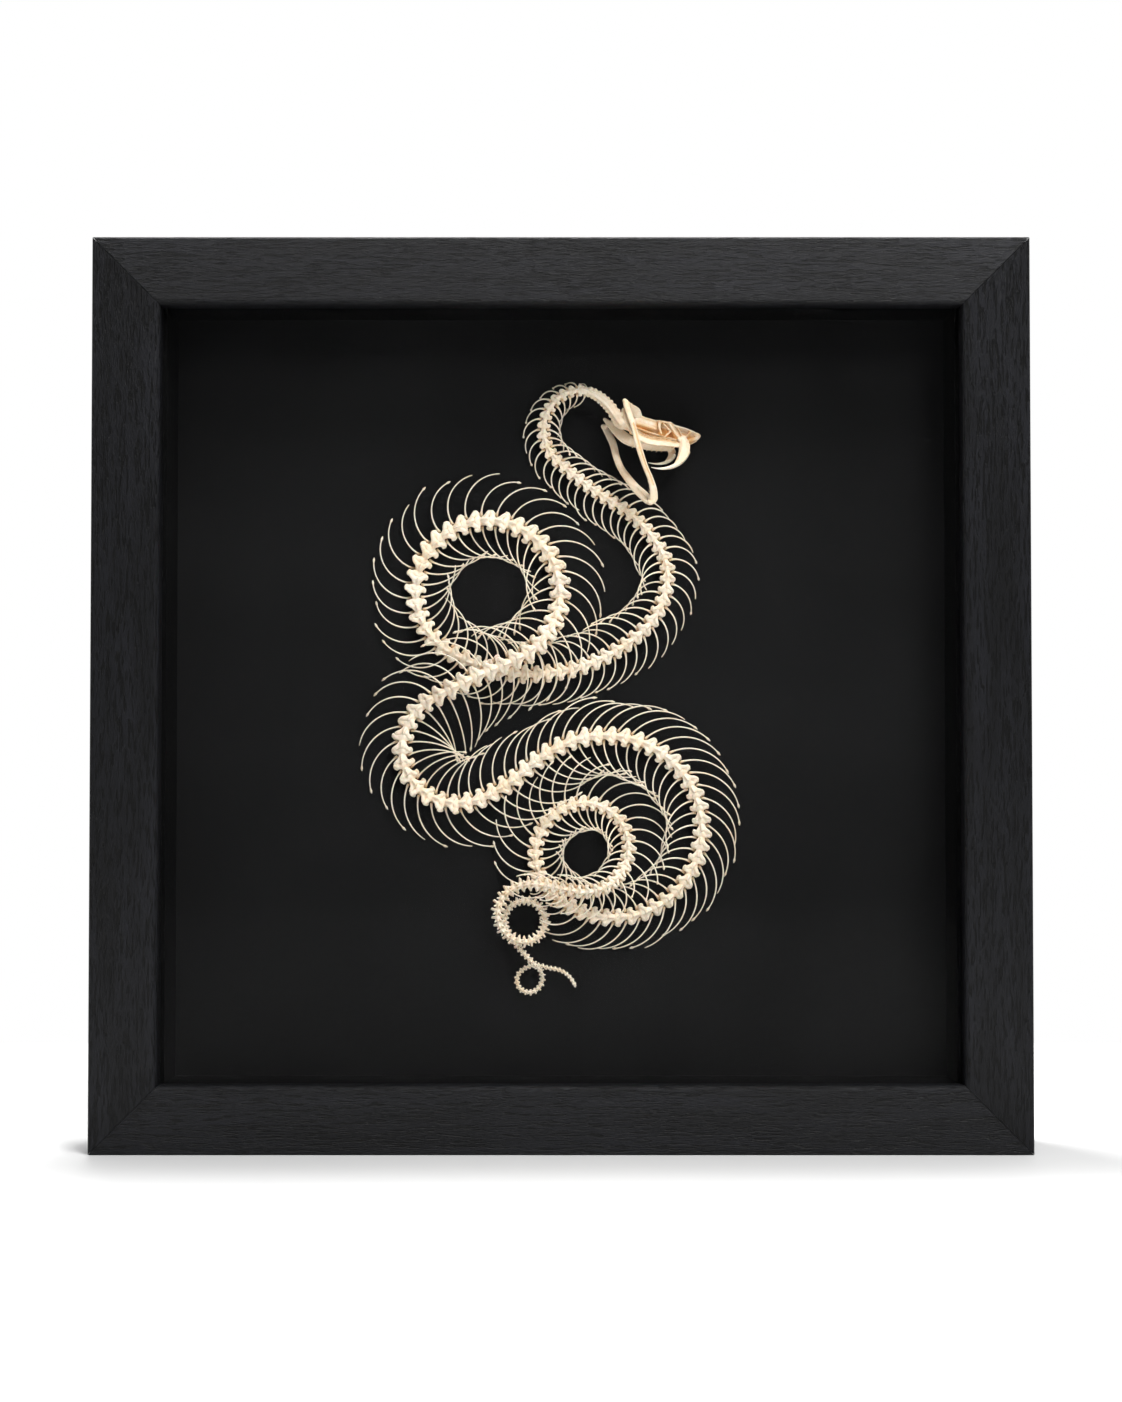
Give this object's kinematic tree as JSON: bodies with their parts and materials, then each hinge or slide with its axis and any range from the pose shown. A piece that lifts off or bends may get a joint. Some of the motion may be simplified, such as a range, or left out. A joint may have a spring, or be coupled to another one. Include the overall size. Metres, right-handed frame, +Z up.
{
  "type": "mounted snake skeleton",
  "caption": "Snake skeleton laid in loops on a black board with its jaws open, shown life size in a glazed black wooden shadow box.",
  "frame": {"origin": "middle of the box's footprint, on the surface it stands on", "axes": "+X to the viewer's right, +Y towards the back of the box, +Z up"},
  "size_m": [0.4, 0.05, 0.39],
  "materials": {
    "bone": "clean dry bone, ivory with warm tan in the hollows",
    "frame_wood": "black stain over open grain, satin",
    "glazing": "clear, low reflection",
    "backing": "matt black mount board",
    "liner": "matt black",
    "back_panel": "plain brown hardboard",
    "steel": "zinc plated"
  },
  "bodies": {
    "root": {"back_panel": "back_panel", "backing_board": "backing", "cranium": "bone", "glass_pane": "glazing", "liner_bottom": "liner", "liner_left": "liner", "liner_right": "liner", "liner_top": "liner", "mandible_left": "bone", "mandible_right": "bone", "maxilla_left": "bone", "maxilla_right": "bone", "neck": "bone", "palate_left": "bone", "palate_right": "bone", "quadrate_left": "bone", "quadrate_right": "bone", "rail_bottom": "frame_wood", "rail_left": "frame_wood", "rail_right": "frame_wood", "rail_top": "frame_wood", "sawtooth_hanger": "steel", "screw_1": "steel", "screw_2": "steel", "screw_3": "steel", "screw_4": "steel", "screw_5": "steel", "screw_6": "steel", "tail_middle": "bone", "tail_root": "bone", "tail_tip": "bone", "trunk_1": "bone", "trunk_2": "bone", "trunk_3": "bone", "trunk_4": "bone", "trunk_5": "bone", "trunk_6": "bone"}
  },
  "joints": []
}
